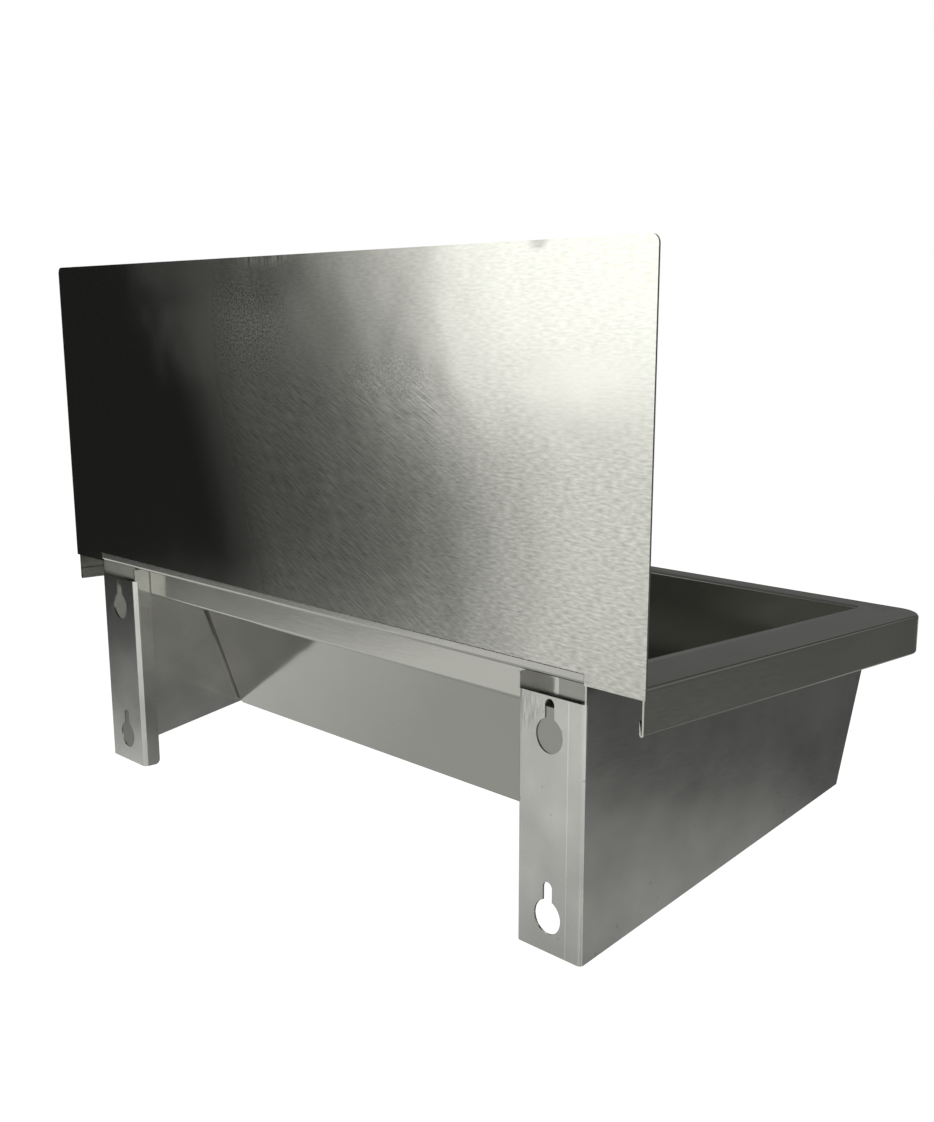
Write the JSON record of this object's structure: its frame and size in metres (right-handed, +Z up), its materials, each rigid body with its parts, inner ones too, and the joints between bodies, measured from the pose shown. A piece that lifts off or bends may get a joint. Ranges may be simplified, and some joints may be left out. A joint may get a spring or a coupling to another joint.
{
  "type": "wall-hung hand wash sink",
  "caption": "Wall-hung hand wash sink in folded stainless sheet: shallow bowl, rolled rim, flat splash back, side panels with keyhole wall brackets, strainer waste.",
  "frame": {"origin": "wall plane, at rim level, middle of the width", "axes": "+X to the right of a person who faces the wall at the sink, +Y into the wall, +Z up"},
  "size_m": [0.6, 0.285, 0.379],
  "materials": {
    "splash_sheet": "fine horizontal grain, bright satin",
    "rail_sheet": "half bright, faint grain along its length",
    "rim_sheet": "fine grain along each side",
    "panel_sheet": "dull mill satin with light handling marks",
    "bowl_sheet": "smooth satin",
    "weld_steel": "dressed weld",
    "waste_steel": "polished",
    "seal_rubber": "matt black"
  },
  "bodies": {
    "root": {"splash_back": "splash_sheet", "rear_rail": "rail_sheet", "seam_welds": "weld_steel", "rear_deck": "rim_sheet", "rim_left": "rim_sheet", "rim_right": "rim_sheet", "rim_front": "rim_sheet", "rim_corner_left": "rim_sheet", "rim_corner_right": "rim_sheet", "side_panel_left": "panel_sheet", "side_panel_right": "panel_sheet", "bowl_wrap": "bowl_sheet", "bowl_end_left": "bowl_sheet", "bowl_end_right": "bowl_sheet", "waste_body": "waste_steel", "waste_upper_seal": "seal_rubber", "waste_lower_seal": "seal_rubber", "waste_washer": "waste_steel", "waste_locknut": "waste_steel", "strainer_grid": "waste_steel", "strainer_screw": "waste_steel"}
  },
  "joints": []
}
